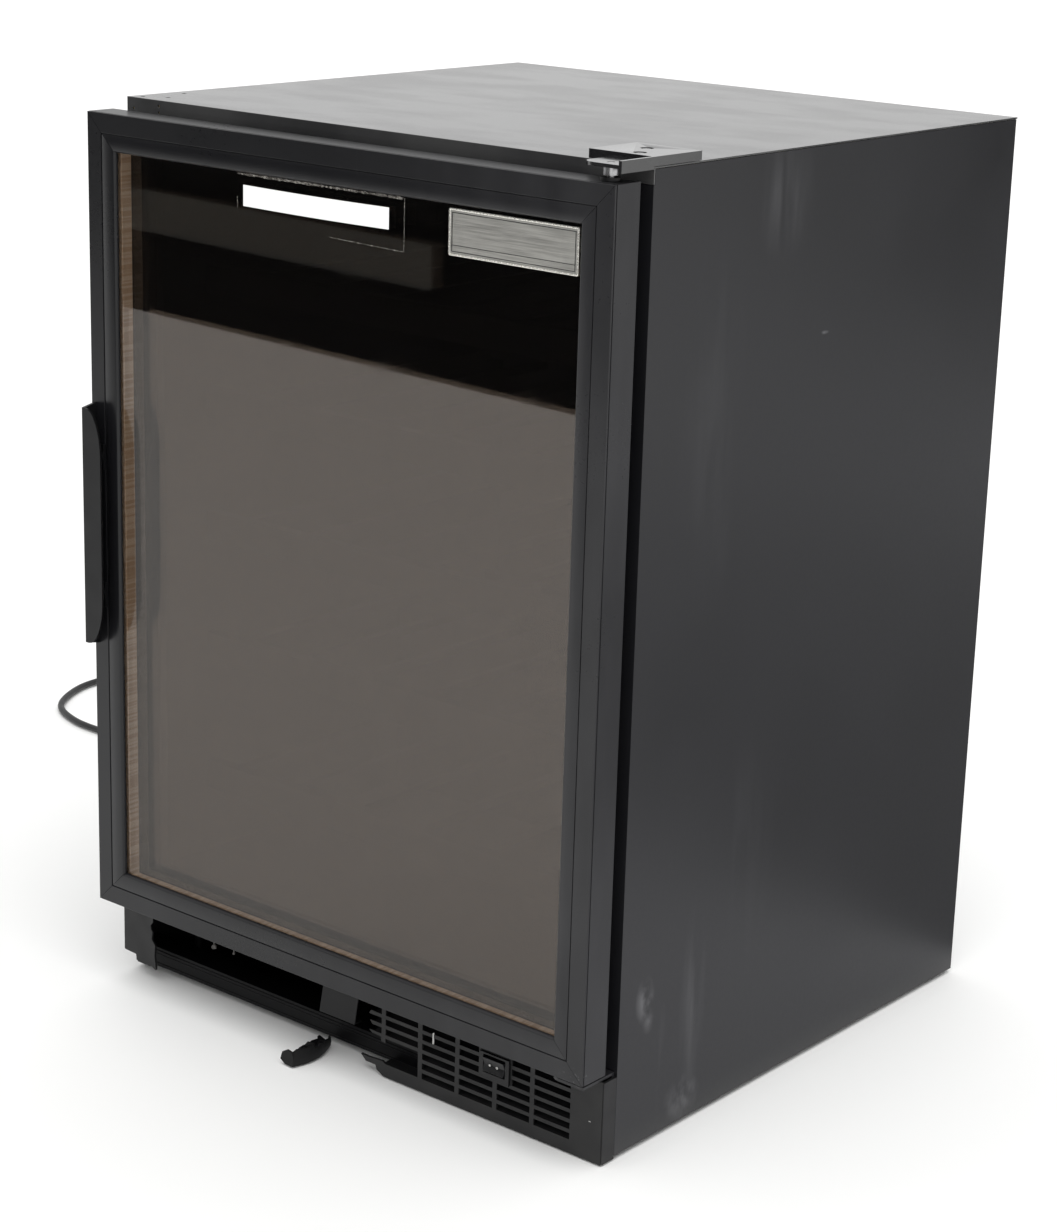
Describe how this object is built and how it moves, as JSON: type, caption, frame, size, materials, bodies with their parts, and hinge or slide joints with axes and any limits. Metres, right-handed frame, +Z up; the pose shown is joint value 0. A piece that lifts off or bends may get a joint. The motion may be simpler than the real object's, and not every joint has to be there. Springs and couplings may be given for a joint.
{
  "type": "wine cooler",
  "caption": "Freestanding undercounter wine cooler with a framed bronze glass door on a right hinge, a side pull, sliding racks, a partly broken kick grille and a power cord.",
  "frame": {"origin": "bottom centre of the appliance's bounding box, on the floor, without the free cord", "axes": "+Z up, -Y towards the door and its glass, +X towards the door's hinge side"},
  "size_m": [1.3131, 0.805, 0.868],
  "materials": {
    "painted_steel": "satin black paint with a fine texture",
    "black_plastic": "moulded black plastic",
    "grey_sheet": "bare galvanised sheet",
    "zinc": "zinc plated steel",
    "charcoal_abs": "vacuum formed charcoal plastic",
    "foam": "polyurethane foam",
    "bronze_glass": "bronze tinted tempered glass",
    "clear_glass": "clear tempered glass",
    "bronze_spacer": "bronze anodised",
    "rubber": "soft black vinyl",
    "brushed_plate": "brushed metal badge, blank",
    "copper": "copper pipe",
    "aluminium": "bare aluminium",
    "enamel": "glossy black enamel",
    "lens": "frosted lamp lens",
    "beech": "oiled beech"
  },
  "bodies": {
    "cabinet": {"side_panel_left": "painted_steel", "side_panel_right": "painted_steel", "top_panel": "painted_steel", "base_pan": "painted_steel", "top_hinge_bracket": "painted_steel", "bottom_hinge_bracket": "painted_steel", "grille_main": "black_plastic", "grille_left_end": "black_plastic", "grille_shard": "black_plastic", "switch_bezel": "black_plastic", "evaporator_fan_motor": "black_plastic", "start_relay": "black_plastic", "rear_panel": "grey_sheet", "grille_mount_tab": "grey_sheet", "fan_shroud": "grey_sheet", "top_hinge_screw_1": "zinc", "top_hinge_screw_2": "zinc", "top_hinge_pin": "zinc", "bottom_hinge_pin": "zinc", "compressor_mount": "zinc", "condenser_fan_motor": "zinc", "inner_liner": "charcoal_abs", "thermostat_housing": "charcoal_abs", "evaporator_cover": "charcoal_abs", "foam_insulation": "foam", "power_cord": "rubber", "power_plug": "rubber", "cord_strain_relief": "rubber", "condenser_coil": "copper", "evaporator": "aluminium", "compressor": "enamel", "lamp_lens": "lens"},
    "door": {"door_stile_left": "painted_steel", "door_stile_right": "painted_steel", "door_rail_top": "painted_steel", "door_rail_bottom": "painted_steel", "door_bush_top": "black_plastic", "door_bush_bottom": "black_plastic", "door_glass_outer": "bronze_glass", "glass_spacer": "bronze_spacer", "door_glass_inner": "clear_glass", "door_inner_frame": "black_plastic", "door_gasket": "rubber", "door_handle": "black_plastic", "handle_screw_1": "zinc", "handle_screw_2": "zinc", "nameplate": "brushed_plate"},
    "light_rocker": {"light_switch": "black_plastic"},
    "temperature_knob": {"thermostat_knob": "black_plastic"},
    "condenser_fan_wheel": {"condenser_fan": "aluminium"},
    "evaporator_fan_wheel": {"evaporator_fan": "charcoal_abs"},
    "rack_1": {"wine_rack_1": "beech"},
    "rack_2": {"wine_rack_2": "beech"},
    "rack_3": {"wine_rack_3": "beech"},
    "rack_4": {"wine_rack_4": "beech"},
    "rack_5": {"wine_rack_5": "beech"},
    "foot_front_left": {"leg_front_left": "black_plastic"},
    "foot_front_right": {"leg_front_right": "black_plastic"},
    "foot_rear_left": {"leg_rear_left": "black_plastic"},
    "foot_rear_right": {"leg_rear_right": "black_plastic"}
  },
  "joints": [
    {"name": "door_hinge", "type": "hinge", "parent": "cabinet", "child": "door", "pos_m": [0.284, -0.2765, 0.0867], "axis": [0, 0, 1], "range_deg": [0, 115]},
    {"name": "rack_1_slide", "type": "slide", "parent": "cabinet", "child": "rack_1", "axis": [0, -1, 0], "range_m": [0, 0.2]},
    {"name": "rack_2_slide", "type": "slide", "parent": "cabinet", "child": "rack_2", "axis": [0, -1, 0], "range_m": [0, 0.2]},
    {"name": "rack_3_slide", "type": "slide", "parent": "cabinet", "child": "rack_3", "axis": [0, -1, 0], "range_m": [0, 0.2]},
    {"name": "rack_4_slide", "type": "slide", "parent": "cabinet", "child": "rack_4", "axis": [0, -1, 0], "range_m": [0, 0.2]},
    {"name": "rack_5_slide", "type": "slide", "parent": "cabinet", "child": "rack_5", "axis": [0, -1, 0], "range_m": [0, 0.2]},
    {"name": "light_switch_rock", "type": "hinge", "parent": "cabinet", "child": "light_rocker", "pos_m": [0.1815, -0.259, 0.056], "axis": [1, 0, 0], "range_deg": [-8, 8]},
    {"name": "thermostat_turn", "type": "hinge", "parent": "cabinet", "child": "temperature_knob", "pos_m": [0.062, -0.2155, 0.798], "axis": [0, 1, 0], "range_deg": [-135, 135]},
    {"name": "condenser_fan_spin", "type": "hinge", "parent": "cabinet", "child": "condenser_fan_wheel", "pos_m": [-0.1, 0.1495, 0.1], "axis": [0, 1, 0], "continuous": true},
    {"name": "evaporator_fan_spin", "type": "hinge", "parent": "cabinet", "child": "evaporator_fan_wheel", "pos_m": [0, 0.2195, 0.7], "axis": [0, 1, 0], "continuous": true},
    {"name": "leg_front_left_screw", "type": "slide", "parent": "cabinet", "child": "foot_front_left", "axis": [0, 0, -1], "range_m": [0, 0.022]},
    {"name": "leg_front_right_screw", "type": "slide", "parent": "cabinet", "child": "foot_front_right", "axis": [0, 0, -1], "range_m": [0, 0.022]},
    {"name": "leg_rear_left_screw", "type": "slide", "parent": "cabinet", "child": "foot_rear_left", "axis": [0, 0, -1], "range_m": [0, 0.022]},
    {"name": "leg_rear_right_screw", "type": "slide", "parent": "cabinet", "child": "foot_rear_right", "axis": [0, 0, -1], "range_m": [0, 0.022]}
  ],
  "couplings": [
    {"joint": "rack_1_slide", "follows": "door_hinge", "m_per_rad": 0.0995},
    {"joint": "rack_2_slide", "follows": "door_hinge", "m_per_rad": 0.0995},
    {"joint": "rack_3_slide", "follows": "door_hinge", "m_per_rad": 0.0995},
    {"joint": "rack_4_slide", "follows": "door_hinge", "m_per_rad": 0.0995},
    {"joint": "rack_5_slide", "follows": "door_hinge", "m_per_rad": 0.0995}
  ]
}
